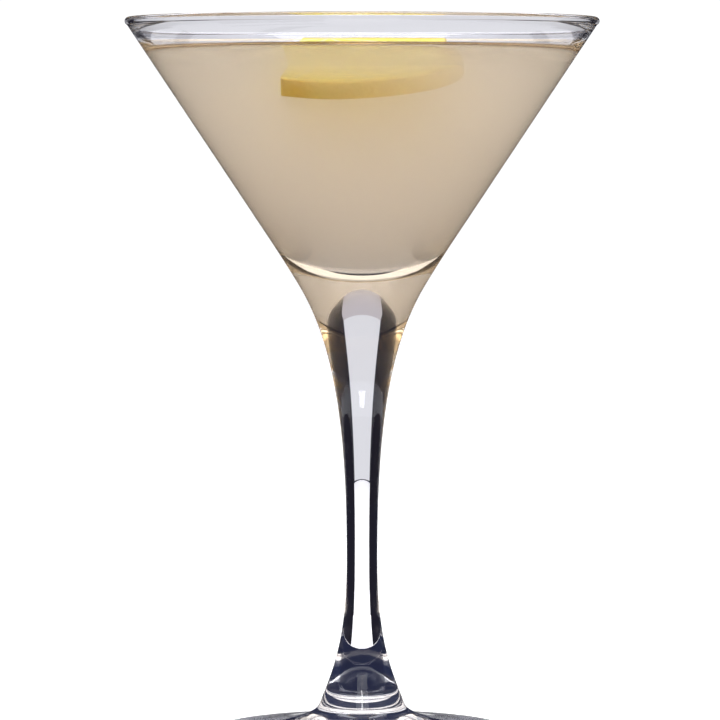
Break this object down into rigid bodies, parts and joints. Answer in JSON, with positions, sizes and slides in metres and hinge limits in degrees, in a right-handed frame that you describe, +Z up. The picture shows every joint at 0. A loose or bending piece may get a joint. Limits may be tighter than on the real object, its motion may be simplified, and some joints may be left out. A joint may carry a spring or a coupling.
{
  "type": "martini cocktail",
  "caption": "Stemmed martini glass filled with a cloudy, straw-coloured cocktail, with a piece of lemon slice floating in it.",
  "frame": {"origin": "centre of the foot's resting plane", "axes": "+Z up along the stem, towards the rim; -Y towards the viewer, the side where the lemon floats"},
  "size_m": [0.116, 0.116, 0.177],
  "materials": {
    "glass": "clear, fire-polished",
    "drink": null,
    "lemon": "wet peel, pith and flesh; stands in for fruit"
  },
  "bodies": {
    "root": {"glass": "glass", "drink": "drink", "lemon_slice": "lemon"}
  },
  "joints": []
}
